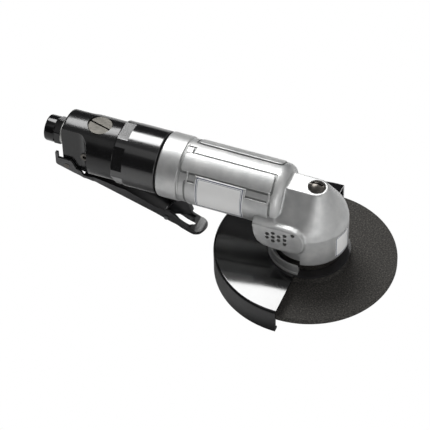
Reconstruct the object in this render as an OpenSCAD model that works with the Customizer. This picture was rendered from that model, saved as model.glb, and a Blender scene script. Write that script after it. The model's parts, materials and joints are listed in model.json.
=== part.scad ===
// Air angle grinder for a 125 mm wheel, with a half guard and a sprung throttle lever.
// It stands on its guard's skirt. The origin is under the middle of its box.
// +Z runs up the spindle, and the handle lies towards -X.

/* [Body] */
// Height of the body axis over the wheel's working face
axis_h = 57.5; // [57.5:0.25:59.5]
// Radius of the barrel between its raised pads
barrel_r = 22.6; // [22.4:0.1:22.9]
// Height of the pads over the barrel
pad_rise = 0.6; // [0.3:0.1:1]
// Radius of the turned band at the back of the barrel
band_r = 23.4; // [23.2:0.1:24]
// Radius of the motor bore
motor_bore_r = 18; // [17.8:0.1:18.2]
// Distance from the spindle axis to the back of the barrel
barrel_back = 106.2; // [104:0.2:108]
// Radius of the coupling collar
collar_r = 23; // [22.6:0.1:23.3]
// Length of the coupling collar
collar_len = 32.6; // [31:0.2:34]
// Distance across the collar's wrench flats
collar_af = 42.6; // [41.6:0.2:44]

/* [Head] */
// Radius of the gear case about the spindle axis
case_r = 27.9; // [27.6:0.1:28.4]
// Height of the head's flat top over the body axis
head_top = 16; // [15.6:0.2:17]
// Half width of the head's flat top
top_half = 8.2; // [7.5:0.1:9]
// Depth of the case's lower face under the body axis
case_drop = 35.7; // [35.7:0.1:36]
// Radius of the grease plug's domed head
plug_head_r = 6.2; // [5.6:0.1:6.8]
// Distance of the grease plug in front of the spindle axis
plug_x = 5.2; // [5:0.1:5.6]
// Radius of an exhaust hole
exhaust_hole_r = 1.5; // [1.2:0.1:1.7]
// Distance between columns of exhaust holes
exhaust_pitch = 4.3; // [4.1:0.1:4.5]

/* [Wheel and guard] */
// Radius of the grinding wheel
wheel_r = 62.5; // [61:0.5:63.5]
// Thickness of the grinding wheel
wheel_t = 4.5; // [3.5:0.25:5]
// Rise of the wheel's depressed centre over its rim
hub_rise = 4.5; // [4.25:0.05:4.6]
// Gap between the wheel's rim and the guard's skirt
guard_gap = 3; // [2.2:0.2:6]
// Thickness of the guard's sheet
guard_t = 1.8; // [1.4:0.1:1.8]
// Height of the guard's top over the wheel's working face
guard_top = 12.8; // [12.7:0.05:12.9]
// Depth of the guard's skirt under the wheel's working face
skirt_drop = 6.5; // [4:0.5:8]
// Width of the lip turned in at the skirt's lower edge
lip_w = 2.2; // [1:0.1:2.6]

/* [Bevel gears] */
// Teeth of the pinion
pinion_teeth = 11; // [11:1:11]
// Teeth of the spindle's gear
gear_teeth = 27; // [27:1:27]
// Pitch radius of the spindle's gear at its outer end
gear_pitch_r = 16; // [15.5:0.1:16.2]
// Length of the teeth along the pitch cone
face_w = 7; // [6:0.2:7.4]
// Gap between meshing flanks on the pitch circle
backlash = 0.22; // [0.2:0.01:0.3]

/* [Air motor] */
// Radius of the rotor
rotor_r = 12; // [11.8:0.05:12]
// Length of the cylinder that the rotor turns in
cylinder_len = 38; // [37:0.2:39]
// Radius of the cylinder's bore
cylinder_bore_r = 13.6; // [13.6:0.05:13.8]
// Offset of that bore over the rotor axis
cylinder_offset = 1.45; // [1.3:0.05:1.5]
// Number of vanes
vane_count = 5; // [4:1:6]
// Thickness of a vane
vane_t = 2.2; // [1.8:0.1:2.4]

/* [Valve and inlet] */
// Radius of the valve housing
valve_r = 21.4; // [21.2:0.1:21.8]
// Length of the valve housing
valve_len = 42; // [41:0.2:43]
// Distance across the flats beside the lever
side_flats = 22.2; // [21.6:0.2:22.4]
// Distance of the valve from the front of its housing
valve_setback = 16.3; // [15.8:0.1:16.8]
// Depth under the body axis of the flat that the lever's floor rises to
floor_flat = 18.4; // [18.3:0.05:18.5]
// Radius of the slotted valve cap
cap_r = 8.9; // [8.5:0.1:9]
// Height of the inlet over the body axis
inlet_rise = 5; // [4.5:0.1:5.2]
// Radius of the inlet's thread at its crest inside
inlet_thread_r = 5.7; // [5.6:0.05:5.8]
// Length of the inlet's thread
inlet_thread_len = 12; // [11:0.5:13]
// Length of the inlet's round end
inlet_ring_len = 8.1; // [7.5:0.1:9]
// Length of the inlet's hexagon
inlet_hex_len = 4.4; // [4:0.1:5]
// Thickness of the washer under the inlet
washer_t = 2.8; // [1.5:0.1:3]
// Radius of the inlet's round end
inlet_ring_r = 9.5; // [8.8:0.1:9.6]
// Distance across the inlet's hexagon
inlet_af = 18; // [17:0.5:18]

/* [Throttle lever] */
// Distance of the lever's pin in front of the valve housing's back
pin_setback = 3.5; // [3.3:0.1:3.7]
// Depth of the lever's pin under the body axis
pin_drop = 15.1; // [15:0.05:15.2]
// Radius of the lever's pin
pin_r = 2; // [1.8:0.1:2.2]
// Slope of the lever at rest in degrees
lever_slope = 21.4; // [21.2:0.1:21.6]
// Thickness of the lever's sheet
lever_t = 1.8; // [1.6:0.05:1.9]
// Half width of the lever's fork
fork_half = 13.4; // [13.3:0.05:13.6]
// Half width of the lever's paddle
paddle_half = 8; // [7.6:0.1:8.4]
// Radius of the latch's pin
latch_pin_r = 1.25; // [1.1:0.05:1.3]
// Thickness of the latch
latch_t = 4; // [3.4:0.1:4.2]

/* [Fits] */
// Radial gap of a running fit
run_gap = 0.03; // [0.02:0.01:0.05]
// Radial gap between pieces that are assembled and stay put
seat_gap = 0.02; // [0.01:0.01:0.03]

/* [Hidden] */
$fn = 96;
far = 200;

// Places along the body, all on the -X side
collar_gap = 1.4;
collar_front = -barrel_back - collar_gap;
collar_back = collar_front - collar_len;
valve_back = collar_back - valve_len;
valve_x = collar_back - valve_setback;
pin_x = valve_back + pin_setback;
hex_back = valve_back - washer_t - inlet_hex_len;
inlet_back = hex_back - inlet_ring_len;
spindle_x = -(inlet_back + wheel_r) / 2;
motor_front = -27;
end_plate_len = 11;
cylinder_front = motor_front - end_plate_len;
cylinder_back = cylinder_front - cylinder_len;
rear_plate_back = cylinder_back - end_plate_len;
spigot_r = 19.5;
spigot_len = barrel_back - 91;
passage_r = 3.6;

// Places along the spindle, given as depths under the body axis
guard_r = wheel_r + guard_gap + guard_t;
guard_z = guard_top - axis_h;
cover_pilot = 29;
cover_thread_r = 22;
cover_r = 23.4;
plate_gap = 0.3;
ring_z = guard_z - guard_t - plate_gap - 0.6;
guard_spigot_r = 22.5;
bearing_drop = 30;
bearing_w = 11;
cover_lip = bearing_drop + bearing_w;
shoulder_drop = cover_lip + 3;
guard_spigot_drop = 0.4 - ring_z;
hub_top = hub_rise + wheel_t;
wheel_bore_r = 11.1;
spindle_r = 7;

// Bevel gear pair with its apex where the two axes cross
module_mm = 2 * gear_pitch_r / gear_teeth;
pinion_pitch_r = module_mm * pinion_teeth / 2;
cone_len = sqrt(gear_pitch_r ^ 2 + pinion_pitch_r ^ 2);
small_scale = (cone_len - face_w) / cone_len;
pinion_cone = atan(pinion_teeth / gear_teeth);
gear_cone = 90 - pinion_cone;
pressure = 20;
addendum = 0.94 * module_mm;
dedendum = 1.3 * module_mm;

// The lever's side view, as distances from its pin
arm_start = [18.2, -11];
arm_len = 46.7;
paddle_x = 93.2;
latch_x = 73.5;
latch_z = -30.4;
slot_half = latch_t / 2 + 0.6;
window_half = 5.6;
latch_wire = 0.35;

module placed() translate([spindle_x, 0, skirt_drop]) children();
module at_axis() translate([0, 0, axis_h]) children();
module rod(x0, x1, r) translate([x0, 0, axis_h]) rotate([0, 90, 0]) cylinder(h = x1 - x0, r = r);
module taper(x0, x1, r0, r1)
  translate([x0, 0, axis_h]) rotate([0, 90, 0]) cylinder(h = x1 - x0, r1 = r0, r2 = r1);
module post(z0, z1, r, x = 0) translate([x, 0, axis_h + z0]) cylinder(h = z1 - z0, r = r);
module block(x0, x1, y0, y1, z0, z1)
  translate([x0, y0, axis_h + z0]) cube([x1 - x0, y1 - y0, z1 - z0]);
module cross_rod(x, z, y0, y1, r)
  translate([x, y1, axis_h + z]) rotate([90, 0, 0]) cylinder(h = y1 - y0, r = r);
module side_slab(y0, y1) translate([0, y1, axis_h]) rotate([90, 0, 0]) linear_extrude(y1 - y0) children();

// A stretch of the body between two angles, counted from the near side up over the top
module sector(x0, x1, r, a0, a1) {
  n = 8;
  translate([x0, 0, axis_h]) rotate([90, 0, 90]) linear_extrude(x1 - x0)
    polygon(concat([[0, 0]], [for (i = [0:n]) let (a = 180 - a0 - (a1 - a0) * i / n)
      1.2 * r * [cos(a), sin(a)]]));
}

module shell_patch(x0, x1, r0, r1, a0, a1) {
  intersection() {
    difference() { rod(x0, x1, r1); rod(x0 - 1, x1 + 1, r0); }
    sector(x0, x1, r1, a0, a1);
  }
}

// Head: a flat-topped hood over a round gear case
// One ring of the hood: a flat back, straight sides and a round nose
module hood_ring(z, half, middle) {
  translate([middle, 0, z]) cylinder(h = 0.1, r = half, $fn = 48);
  translate([-17, -half, z]) cube([17 + middle, 2 * half, 0.1]);
}
module hood() {
  side = case_r - 0.2;
  hull() {
    hood_ring(head_top - 0.1, top_half, plug_x);
    hood_ring(-0.1, side - 7.6, 3);
    hood_ring(-6, side - 3, 1.5);
    hood_ring(-10, side - 1, 0.5);
    hood_ring(-14, side, 0);
    hood_ring(-24, side, 0);
  }
}
module exhaust_boss() {
  face = case_r + 0.7;
  difference() {
    side_slab(-face, -12) difference() {
      union() {
        translate([-31.5, -16]) square([20, 12]);
        translate([-22.5, -25]) square([24, 24]);
        translate([-22.5, -16]) circle(r = 9);
        translate([-2, -17]) square([8.4, 5]);
        translate([-2, -12]) circle(r = 8.4);
        translate([-2, -17]) intersection() { circle(r = 8.4); translate([0, -9]) square(9); }
      }
      translate([-40, -4]) square([13, 9]);
    }
    // Its top slopes up to the side of the hood
    translate([-45, -face, axis_h - 5]) rotate([-60, 0, 0]) translate([0, -30, 0]) cube([70, 30, 40]);
  }
}

module exhaust_holes() {
  z_high = -11;
  rows = [[1, 2], [0, 1, 2], [1, 2], [0, 1, 2]];
  drops = [[0.5, 1.5], [0, 1, 2], [0.5, 1.5], [0, 1, 2]];
  for (col = [0:3])
    for (drop = drops[col])
      cross_rod(-20.6 + exhaust_pitch * col, z_high - 3.7 * drop, -case_r - 2, -24, exhaust_hole_r);
  cross_rod(-2.1, -8.6, -case_r - 2, -24, exhaust_hole_r);
}

module main_housing() {
  pad_r = barrel_r + pad_rise;
  placed() color("silver") difference() {
    union() {
      at_axis() hood();
      post(-case_drop + 1.2, -14, case_r);
      translate([0, 0, axis_h - case_drop]) cylinder(h = 1.2, r1 = case_r - 1.2, r2 = case_r);
        exhaust_boss();
      rod(-89.6, -18, barrel_r);
      taper(-18, -15.5, barrel_r, barrel_r - 4);
      rod(-barrel_back, -90.6, band_r);
      rod(-91, -89, barrel_r - 0.6);
      // Raised pads, the seat of the rating plate and the bridges at both ends of its groove
      shell_patch(-88.8, -22.4, barrel_r - 1, pad_r, 42, 76.5);
      shell_patch(-88.8, -84.4, barrel_r - 1, pad_r, 76, 89);
      shell_patch(-84.4, -22.4, barrel_r - 1, pad_r, 106, 139);
      shell_patch(-84, -22.4, barrel_r - 1, pad_r, -50, 24);
      shell_patch(-77.6, -39.8, barrel_r - 1, pad_r, 23, 39.4);
      shell_patch(-84, -82.8, barrel_r - 1, pad_r, 23, 43);
      shell_patch(-24.2, -22.4, barrel_r - 1, pad_r, 23, 43);
      shell_patch(-84, -22, barrel_r - 1, pad_r, 150, 230);
    }
    rod(-barrel_back - 1, motor_front, motor_bore_r);
    rod(-barrel_back - 1, -91, spigot_r);
    rod(motor_front - 1, -8, 11);
    post(-cover_pilot - 1, -9, 20);
    translate([0, 0, axis_h - 9.1]) cylinder(h = 8.1, r1 = 19, r2 = 15.5);
    post(-case_drop - 1, -cover_pilot, cover_thread_r);
    post(-2, 3, 11);
    post(2, 11, 6.5);
    post(11.8, head_top + 1, 3, plug_x);
    post(-2, 12.5, 1.3, plug_x + 3.1);
    block(-22.6, -0.2, -26.5, -21.6, -20.4, -6.8);
    block(-30, -21, -25, -15, -15, -3);
    block(-72, -24, -19.2, -15, -7, -1);
    exhaust_holes();
    // Scoop in the case behind the guard's collar
    translate([0, 0, axis_h - case_drop - 1]) rotate_extrude(angle = 78, start = 199)
      translate([23.7, 0]) square([20, 10]);
  }
}

module grease_plug() {
  placed() color("dimgray") difference() {
    union() {
      post(12, head_top, 3 - seat_gap, plug_x);
      translate([plug_x, 0, axis_h + head_top]) rotate_extrude() intersection() {
        translate([0, -4.6]) circle(r = 8.2);
        square([plug_head_r, 4]);
      }
    }
    translate([plug_x - 9, -0.7, axis_h + head_top + 1.9]) cube([18, 1.4, 4]);
  }
}

module rating_plate() {
  r = barrel_r + pad_rise;
  placed() color("white") shell_patch(-76.4, -41, r, r + 0.2, -28, 38.5);
}

module warning_label() {
  placed() color("whitesmoke") translate([0, 0, axis_h - 33]) rotate_extrude(angle = 32, start = -29)
    translate([case_r, 0]) square([0.2, 18]);
}

// Coupling between the barrel and the valve housing
module coupling_collar() {
  flat_len = 8.4;
  placed() color("black") difference() {
    union() {
      rod(collar_back, collar_front, collar_r);
      rod(collar_front - 1, -91, spigot_r - seat_gap);
    }
    difference() {
      rod(collar_back - 1, collar_back + flat_len, collar_r + 2);
      along_body(collar_back - 2) cylinder(h = flat_len + 4, r = collar_af / 2 / cos(30), $fn = 6);
    }
    rod(collar_back - 1, collar_back + 16, 16);
    rod(collar_back, -80, 14.5);
  }
}

module collar_seal() {
  placed() color("black") difference() {
    rod(collar_front, -barrel_back, 21.3);
    rod(collar_front - 1, -barrel_back + 1, spigot_r);
  }
}

// Cut beside the lever's fork, with the round run-out of its cutter
module fork_relief(side) {
  half = side_flats / 2;
  run_out = 10;
  corner = valve_back + 13;
  translate([valve_back - 1, side > 0 ? half : -far, axis_h - 30])
    cube([corner - valve_back + 1, far - half, 60]);
  translate([corner, side * (half + run_out), axis_h - 30]) cylinder(h = 60, r = run_out);
}

module valve_housing() {
  edge = 1.4;
  placed() color("black") difference() {
    union() {
      rod(valve_back + edge, collar_back, valve_r);
      taper(valve_back, valve_back + edge, valve_r - edge, valve_r);
      rod(collar_back - 1, collar_back + 15.8, 16 - seat_gap);
    }
    fork_relief(1);
    fork_relief(-1);
    translate([0, 0, inlet_rise]) {
      rod(valve_back - 1, valve_back + 11, 7.5);
      rod(valve_back, valve_x, 4.5);
    }
    post(14, valve_r + 1, cap_r + 0.1, valve_x);
    post(-4.5, 15, 7, valve_x);
    post(-14, -3, 4.6, valve_x);
    post(-valve_r - 1, -13, 2.5 + run_gap, valve_x);
    translate([0, 0, -9.5]) rod(valve_x, collar_back + 17, passage_r);
    rod(collar_back + 6, collar_back + 17, 13);
    block(valve_back - 1, valve_x + 2, -20, 20, -valve_r - 1, -floor_flat);
    cross_rod(pin_x, -pin_drop, -20, 20, pin_r);
    cross_rod(valve_back + 17.6, -3, -23, -9, 3.2);
  }
}

module cross_plug() {
  placed() color("dimgray") difference() {
    cross_rod(valve_back + 17.6, -3, -12.6, -9, 3.2 - seat_gap);
    translate([valve_back + 17.6, -12.6, axis_h - 3]) rotate([90, 0, 0])
      translate([0, 0, -1.2]) cylinder(h = 3, r = 1.7, $fn = 6);
  }
}

// Air inlet at the back
module inlet_bush() {
  placed() color("black") translate([0, 0, inlet_rise]) difference() {
    union() {
      taper(inlet_back, inlet_back + 1, inlet_ring_r - 1, inlet_ring_r);
      rod(inlet_back + 1, hex_back, inlet_ring_r);
      along_body(hex_back) cylinder(h = inlet_hex_len, r = inlet_af / 2 / cos(30), $fn = 6);
      rod(valve_back - washer_t - 0.5, valve_back + 10.5, 7.5 - seat_gap);
    }
    rod(inlet_back - 1, inlet_back + inlet_thread_len, inlet_thread_r);
    rod(inlet_back, valve_back + 12, 4.8);
  }
}

module inlet_washer() {
  placed() color("gainsboro") translate([0, 0, inlet_rise]) difference() {
    rod(valve_back - washer_t, valve_back, 9.2);
    rod(valve_back - 4, valve_back + 1, 7.5);
  }
}

module inlet_screen() {
  placed() color("goldenrod") translate([0, 0, inlet_rise]) difference() {
    rod(valve_back - 3, valve_back + 9, 4.8 - seat_gap);
    rod(valve_back - 4, valve_back + 8.4, 4.2);
    for (k = [0:5])
      for (j = [0:2])
        translate([valve_back - 0.6 + 3 * j, 0, axis_h]) rotate([60 * k, 0, 0]) cylinder(h = 6, r = 0.9);
  }
}

// Throttle valve, upright behind the slotted cap
module valve_cap() {
  placed() color("lightslategray") difference() {
    union() {
      post(14.5, 19.6, cap_r, valve_x);
      translate([valve_x, 0, axis_h + 19.6]) cylinder(h = 0.6, r1 = cap_r, r2 = cap_r - 0.6);
    }
    post(14, 16.5, 3.4, valve_x);
    translate([valve_x, 0, axis_h + 18.7]) rotate([0, 0, -14]) translate([-12, -0.75, 0])
      cube([24, 1.5, 3]);
  }
}

module cap_seal() {
  placed() color("black") translate([valve_x, 0, axis_h + 14]) difference() {
    cylinder(h = 0.5, r = cap_r);
    translate([0, 0, -1]) cylinder(h = 3, r = 7);
  }
}

module valve_seat() {
  placed() color("goldenrod") difference() {
    post(-4.5, -2, 7 - seat_gap, valve_x);
    post(-6, 0, 4, valve_x);
  }
}

// Wire wound about an upright axis
module coil(r, wire, turns, height) {
  sides = 6;
  steps = 12;
  rings = turns * steps;
  centre = [for (k = [0:rings]) let (a = 360 * k / steps)
    [r * cos(a), r * sin(a), height * k / rings]];
  points = [for (k = [0:rings]) let (a = 360 * k / steps)
    for (j = [0:sides - 1]) let (b = 360 * j / sides)
      centre[k] + wire * [cos(a) * cos(b), sin(a) * cos(b), sin(b)]];
  walls = [for (k = [0:rings - 1]) for (j = [0:sides - 1])
    let (n = (j + 1) % sides, low = k * sides, high = low + sides)
    each [[low + j, low + n, high + n], [low + j, high + n, high + j]]];
  caps = [for (j = [1:sides - 2]) each [[0, j + 1, j],
    [rings * sides, rings * sides + j, rings * sides + j + 1]]];
  polyhedron(points, concat(walls, caps));
  gap = min([for (k = [0:rings - steps]) norm(centre[k + steps] - centre[k])]) - 2 * wire;
  echo("least gap between turns", gap);
}

module valve_spring() {
  placed() color("silver") translate([valve_x, 0, axis_h + 3.1]) coil(2.7, 0.45, 5, 12.6);
}

// The stem's round foot stands just over the lever's floor
module valve_stem() {
  foot_r = 2.4;
  floor_z = arm_z(valve_x - pin_x) + lever_t - pin_drop;
  foot_z = floor_z + (foot_r + 0.3) / cos(lever_slope);
  placed() color("goldenrod") {
    post(-0.4, 2.5, 5.6, valve_x);
    post(2.4, 5, 1.9, valve_x);
    post(foot_z, 0, 2.5, valve_x);
    translate([valve_x, 0, axis_h + foot_z]) sphere(r = foot_r);
  }
}

module stem_seal() {
  placed() color("black") difference() {
    post(-1.7, -0.4, 5.4, valve_x);
    post(-3, 1, 2.5, valve_x);
  }
}

// Throttle lever: a fork about the pin, a channel open to the body and a rounded paddle
function arm_z(d) = arm_start[1] - (d - arm_start[0]) * tan(lever_slope);
arm_low = [arm_start, arm_start + [arm_len, -arm_len * tan(lever_slope)], [75.8, -34.4],
  [81.5, -36.5], [84.7, -38.4], [88.5, -39.9]];

module lever_side() {
  polygon(concat([[-8.5, 0.3], [-8.5, 11.1], [-6.3, 11.1], [-6.3, 5.9], [3, 5.8], [4.6, 4.2],
    [7.2, -0.9], [10.4, -1.8], [12.2, -5], [19, -7], [38, -11.5], [43.2, -12.3], [65.8, -22.6],
    [75.2, -24.4], [80.5, -27.6],
    [85, -33.2], [88.5, -36], [93.6, -38.2], [98.5, -38.3], [101.5, -37.6], [101.5, -38.8],
    [98, -40.9], [93.6, -41.1]], [for (k = [len(arm_low) - 1:-1:0]) arm_low[k]],
    [[14.8, -8.6], [9.4, -6.2], [5.2, -5.1], [-7.5, -0.8]]));
}

module lever_plan(inset) {
  fork = fork_half - inset;
  arm = fork_half - 2.5 - inset;
  paddle = paddle_half - inset;
  side = [[-9, fork], [14, fork], [20, arm], [80, paddle], [paddle_x, paddle]];
  polygon(concat(side, [for (k = [len(side) - 1:-1:0]) [side[k][0], -side[k][1]]]));
}

module throttle_lever() {
  placed() color("black") translate([pin_x, 0, axis_h - pin_drop]) difference() {
    intersection() {
      translate([0, far / 2, 0]) rotate([90, 0, 0]) linear_extrude(far) lever_side();
      translate([0, 0, -far / 2]) union() {
        linear_extrude(far) lever_plan(0);
        translate([paddle_x, 0, 0]) cylinder(h = far, r = paddle_half);
      }
    }
    // Hollow between the side walls, open upwards
    intersection() {
      translate([0, far / 2, 0]) rotate([90, 0, 0]) linear_extrude(far)
        polygon(concat([[-20, 20], [-20, -far], [12.5, -far], [12.5, -7.1 + lever_t],
          [14.8, -8.6 + lever_t]], [for (p = arm_low) p + [0, lever_t]], [[91, -37], [91, 20]]));
      translate([0, 0, -far / 2]) linear_extrude(far) lever_plan(lever_t);
    }
    rotate([90, 0, 0]) translate([0, 0, -20]) cylinder(h = 40, r = pin_r + run_gap);
    translate([latch_x, 0, latch_z]) rotate([90, 0, 0]) translate([0, 0, -20])
      cylinder(h = 40, r = latch_pin_r + seat_gap);
    // Window for the latch's hub and spring, and the slot that the latch folds into
    translate([latch_x - 3.4, -window_half, -60]) cube([6.6, 2 * window_half, 60 + latch_z]);
    translate([latch_x - 3.6, -slot_half, -60]) cube([20, 2 * slot_half, 60]);
    translate([latch_x + 16.4, 0, -60]) cylinder(h = 60, r = slot_half);
  }
}

module lever_pin() {
  placed() color("dimgray") cross_rod(pin_x, -pin_drop, -fork_half - 0.3, fork_half + 0.3, pin_r);
}

function arm_half(d) =
  let (arm = fork_half - 2.5) arm - (arm - paddle_half) * (d - 20) / 60;

module latch_pin() {
  z = latch_z - pin_drop;
  wall = arm_half(latch_x);
  placed() color("dimgray") {
    cross_rod(pin_x + latch_x, z, -wall - 0.5, wall + 0.5, latch_pin_r);
    for (y = [-wall - 1.15, wall + 0.25])
      cross_rod(pin_x + latch_x, z, y, y + 0.9, latch_pin_r + 0.4);
  }
}

module latch_spring() {
  side = window_half - latch_wire - 0.1;
  placed() color("silver") translate([pin_x + latch_x, side, axis_h + latch_z - pin_drop])
    rotate([90, 0, 0]) coil(latch_pin_r + 0.8, latch_wire, 2, 2.4);
}

module safety_latch() {
  hub_half = latch_t / 2 + 0.2;
  placed() color("black") translate([pin_x + latch_x, 0, axis_h + latch_z - pin_drop]) rotate([90, 0, 0])
    difference() {
      union() {
        translate([0, 0, -latch_t / 2]) linear_extrude(latch_t)
          polygon([[-2, 1], [-1.6, 2.4], [4.2, 10.4], [10.4, 19.8], [12.2, 21], [13.8, 19.6],
            [14.8, 12], [17.2, 4.8], [16, 3], [3.4, -1.6], [1.6, -2.2], [-1.6, -1.6]]);
        translate([0, 0, -hub_half]) cylinder(h = 2 * hub_half, r = 2.9);
      }
      translate([0, 0, -10]) cylinder(h = 20, r = latch_pin_r + run_gap);
    }
}

// Vane motor
module motor_cylinder() {
  placed() color("dimgray") difference() {
    rod(cylinder_back, cylinder_front, motor_bore_r - seat_gap);
    translate([0, 0, cylinder_offset]) rod(cylinder_back - 1, cylinder_front + 1, cylinder_bore_r);
    for (k = [0:4])
      block(cylinder_front - 9 - 5 * k, cylinder_front - 6.6 - 5 * k, -20, -11, -6, -2);
  }
}

module end_plate(inner, outer, shaft_r, seat_r, seat_len) {
  // The bearing's seat is on the outer side, away from the rotor
  dir = outer > inner ? 1 : -1;
  seat = outer - dir * seat_len;
  difference() {
    rod(min(inner, outer), max(inner, outer), motor_bore_r - seat_gap);
    rod(min(inner, outer) - 1, max(inner, outer) + 1, shaft_r);
    rod(min(seat, outer + dir), max(seat, outer + dir), seat_r);
  }
}

module front_end_plate() {
  placed() color("slategray") end_plate(cylinder_front, motor_front - 0.1, 5.4, 13, 8);
}

module rear_end_plate() {
  placed() color("slategray") difference() {
    end_plate(cylinder_back, rear_plate_back, 4.4, 11, 7);
    for (a = [-24, 0, 24])
      translate([0, 0, axis_h]) rotate([a, 0, 0]) translate([rear_plate_back - 1, 0, 13.2])
        rotate([0, 90, 0]) cylinder(h = end_plate_len + 2, r = 1.3);
  }
}

module motor_spacer() {
  placed() color("slategray") difference() {
    rod(-91, rear_plate_back, motor_bore_r - seat_gap);
    rod(-92, rear_plate_back + 1, 14.6);
  }
}

// Ball bearing halves, drawn about an upright axis from height 0
module ball_groove(r, ball) rotate_extrude() translate([r, 0]) circle(r = ball);
module outer_race(w, r_out, r_in, r_mid, ball) {
  difference() {
    cylinder(h = w, r = r_out);
    translate([0, 0, -1]) cylinder(h = w + 2, r = r_in);
    translate([0, 0, w / 2]) ball_groove(r_mid, ball + 0.06);
  }
}
module inner_race_and_balls(w, r_out, r_in, r_mid, ball, count) {
  difference() {
    cylinder(h = w, r = r_out);
    translate([0, 0, -1]) cylinder(h = w + 2, r = r_in);
    translate([0, 0, w / 2]) ball_groove(r_mid, ball - 0.05);
  }
  for (k = [0:count - 1])
    rotate([0, 0, 360 * k / count]) translate([r_mid, 0, w / 2]) sphere(r = ball);
}
module along_body(x) translate([x, 0, axis_h]) rotate([0, 90, 0]) children();

module front_bearing_race() {
  placed() color("lightgray") along_body(motor_front - 8.1) outer_race(8, 13 - seat_gap, 10.8, 9, 2.6);
}
module front_bearing_balls() {
  placed() color("lightgray") along_body(motor_front - 8.1) inner_race_and_balls(8, 7.3, 5, 9, 2.6, 7);
}
module rear_bearing_race() {
  placed() color("lightgray") along_body(rear_plate_back) outer_race(7, 11 - seat_gap, 9.1, 7.5, 2.1);
}
module rear_bearing_balls() {
  placed() color("lightgray") along_body(rear_plate_back) inner_race_and_balls(7, 6, 4, 7.5, 2.1, 7);
}

module rotor() {
  slot_depth = 6.6;
  clear = 0.15;
  placed() color("gray") difference() {
    union() {
      rod(cylinder_back + clear, cylinder_front - clear, rotor_r);
      rod(cylinder_front - 1, -19.2, 5);
      rod(rear_plate_back, cylinder_back + 1, 4);
    }
    for (k = [0:vane_count - 1])
      translate([0, 0, axis_h]) rotate([360 * k / vane_count, 0, 0])
        translate([cylinder_back - 1, -vane_t / 2 - 0.05, rotor_r - slot_depth])
          cube([cylinder_len + 2, vane_t + 0.1, slot_depth + 1]);
    rod(-33, -18, 3);
  }
}

module vanes() {
  clear = 0.2;
  placed() color("peru") for (k = [0:vane_count - 1])
    translate([0, 0, axis_h]) rotate([360 * k / vane_count, 0, 0])
      translate([cylinder_back + clear, -vane_t / 2, rotor_r - 6.5])
        cube([cylinder_len - 2 * clear, vane_t, 6.3]);
}

// Straight bevel teeth, each running to the point where the axes cross
function involute(a) = tan(a) - a * PI / 180;
function half_angle(rho, pitch_rho, teeth, play) =
  let (base = pitch_rho * cos(pressure), at = max(rho, base))
  90 / teeth - play / pitch_rho * 90 / PI
    + (involute(pressure) - involute(acos(base / at))) * 180 / PI;
function tooth_point(a, side, teeth, pitch_r, cone, scale) =
  let (pitch_rho = pitch_r / cos(cone), rho = pitch_rho + a,
    turn = side * half_angle(rho, pitch_rho, teeth / cos(cone), backlash) / cos(cone),
    radius = (pitch_r + a * cos(cone)) * scale,
    height = (pitch_r / tan(cone) - a * sin(cone)) * scale)
  [radius * cos(turn), radius * sin(turn), height];

module bevel_tooth(teeth, pitch_r, cone) {
  levels = [-dedendum - 0.3, -0.6 * dedendum, 0, 0.5 * addendum, addendum];
  outline = concat([for (a = levels) [a, -1]], [for (k = [4:-1:0]) [levels[k], 1]]);
  count = len(outline);
  ends = [1, small_scale];
  points = [for (e = ends) for (p = outline) tooth_point(p[0], p[1], teeth, pitch_r, cone, e)];
  walls = [for (k = [0:count - 1]) let (n = (k + 1) % count) [k, n, n + count, k + count]];
  big_end = [for (k = [count - 1:-1:0]) k];
  small_end = [for (k = [0:count - 1]) k + count];
  polyhedron(points, concat(walls, [big_end, small_end]));
}

// Solid under the teeth: a cone frustum cut square to the pitch cone at both ends
module bevel_blank(pitch_r, cone) {
  root = [pitch_r - dedendum * cos(cone), pitch_r / tan(cone) + dedendum * sin(cone)];
  inner = small_scale * root;
  rotate_extrude() polygon([[0, root[1]], root, inner, [0, inner[1]]]);
}

module bevel_teeth(teeth, pitch_r, cone)
  for (k = [0:teeth - 1]) rotate([0, 0, 360 * k / teeth]) bevel_tooth(teeth, pitch_r, cone);

// Both gears are drawn with the apex at the origin and the teeth up the +Z axis
module pinion() {
  placed() color("gray") {
    at_axis() rotate([0, -90, 0]) {
      bevel_teeth(pinion_teeth, pinion_pitch_r, pinion_cone);
      bevel_blank(pinion_pitch_r, pinion_cone);
    }
    rod(-19.1, -gear_pitch_r - 0.4, pinion_pitch_r - dedendum);
    rod(-32.9, -19, 3 - seat_gap);
  }
}

module bevel_gear() {
  hub_drop = 18;
  placed() color("gray") difference() {
    union() {
      at_axis() mirror([0, 0, 1]) rotate([0, 0, 180]) {
        bevel_teeth(gear_teeth, gear_pitch_r, gear_cone);
        bevel_blank(gear_pitch_r, gear_cone);
      }
      post(-12.5, -pinion_pitch_r - 1, gear_pitch_r - 0.7);
      post(-hub_drop, -11, 11);
    }
    post(-hub_drop - 1, 0, 6);
  }
}

module gear_spacer() {
  placed() color("gray") difference() {
    post(-bearing_drop, -18, 9.4);
    post(-bearing_drop - 1, -17, 7.5);
  }
}

module spindle() {
  placed() color("gray") {
    post(-19, 10.5, 5);
    post(-19, -2, 6 - seat_gap);
    post(-shoulder_drop, -18, 7.5 - seat_gap);
    post(0.3 - axis_h, 1 - shoulder_drop, spindle_r);
  }
}

module upper_bush() {
  placed() color("goldenrod") difference() {
    post(3, 11, 6.5 - seat_gap);
    post(2, 12, 5 + run_gap);
  }
}

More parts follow.
